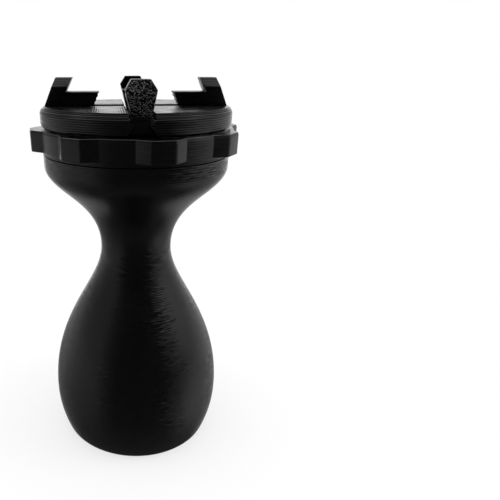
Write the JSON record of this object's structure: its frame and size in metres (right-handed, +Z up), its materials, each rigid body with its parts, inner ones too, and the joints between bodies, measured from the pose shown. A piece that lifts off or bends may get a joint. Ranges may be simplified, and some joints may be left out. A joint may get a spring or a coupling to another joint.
{
  "type": "miniature painting handle",
  "caption": "Waisted hand grip with a lobed scroll ring that slides stepped jaws in slots on a round plate, to clamp a small figure's base by its edge.",
  "frame": {"origin": "centre of the flat foot, on its underside", "axes": "+Z up along the axis of the grip, front jaw towards -Y, right-hand jaw towards +X"},
  "size_m": [0.067, 0.067, 0.1274],
  "materials": {
    "grip_plastic": "satin black, layered by printing",
    "ring_plastic": "satin black, layered by printing",
    "plate_plastic": "satin black with fine parallel lines on top",
    "jaw_plastic": "satin black, layered by printing",
    "insert_brass": "plain turned",
    "screw_steel": "black oxide"
  },
  "bodies": {
    "handle": {"grip_body": "grip_plastic", "top_plate": "plate_plastic", "threaded_insert": "insert_brass", "centre_screw": "screw_steel"},
    "ring": {"scroll_ring": "ring_plastic"},
    "right_jaw": {"jaw_right": "jaw_plastic"},
    "back_jaw": {"jaw_back": "jaw_plastic"},
    "left_jaw": {"jaw_left": "jaw_plastic"},
    "front_jaw": {"jaw_front": "jaw_plastic"}
  },
  "joints": [
    {"name": "ring_turn", "type": "hinge", "parent": "handle", "child": "ring", "pos_m": [0, 0, 0.1098], "axis": [0, 0, 1], "range_deg": [-468, 414]},
    {"name": "right_jaw_slide", "type": "slide", "parent": "handle", "child": "right_jaw", "axis": [1, 0, 0], "range_m": [-0.00461, 0.00521]},
    {"name": "back_jaw_slide", "type": "slide", "parent": "handle", "child": "back_jaw", "axis": [0, 1, 0], "range_m": [-0.00461, 0.00521]},
    {"name": "left_jaw_slide", "type": "slide", "parent": "handle", "child": "left_jaw", "axis": [-1, 0, 0], "range_m": [-0.00461, 0.00521]},
    {"name": "front_jaw_slide", "type": "slide", "parent": "handle", "child": "front_jaw", "axis": [0, -1, 0], "range_m": [-0.00461, 0.00521]}
  ],
  "couplings": [
    {"joint": "right_jaw_slide", "follows": "ring_turn", "m_per_rad": -0.00063662},
    {"joint": "back_jaw_slide", "follows": "ring_turn", "m_per_rad": -0.00063662},
    {"joint": "left_jaw_slide", "follows": "ring_turn", "m_per_rad": -0.00063662},
    {"joint": "front_jaw_slide", "follows": "ring_turn", "m_per_rad": -0.00063662}
  ]
}
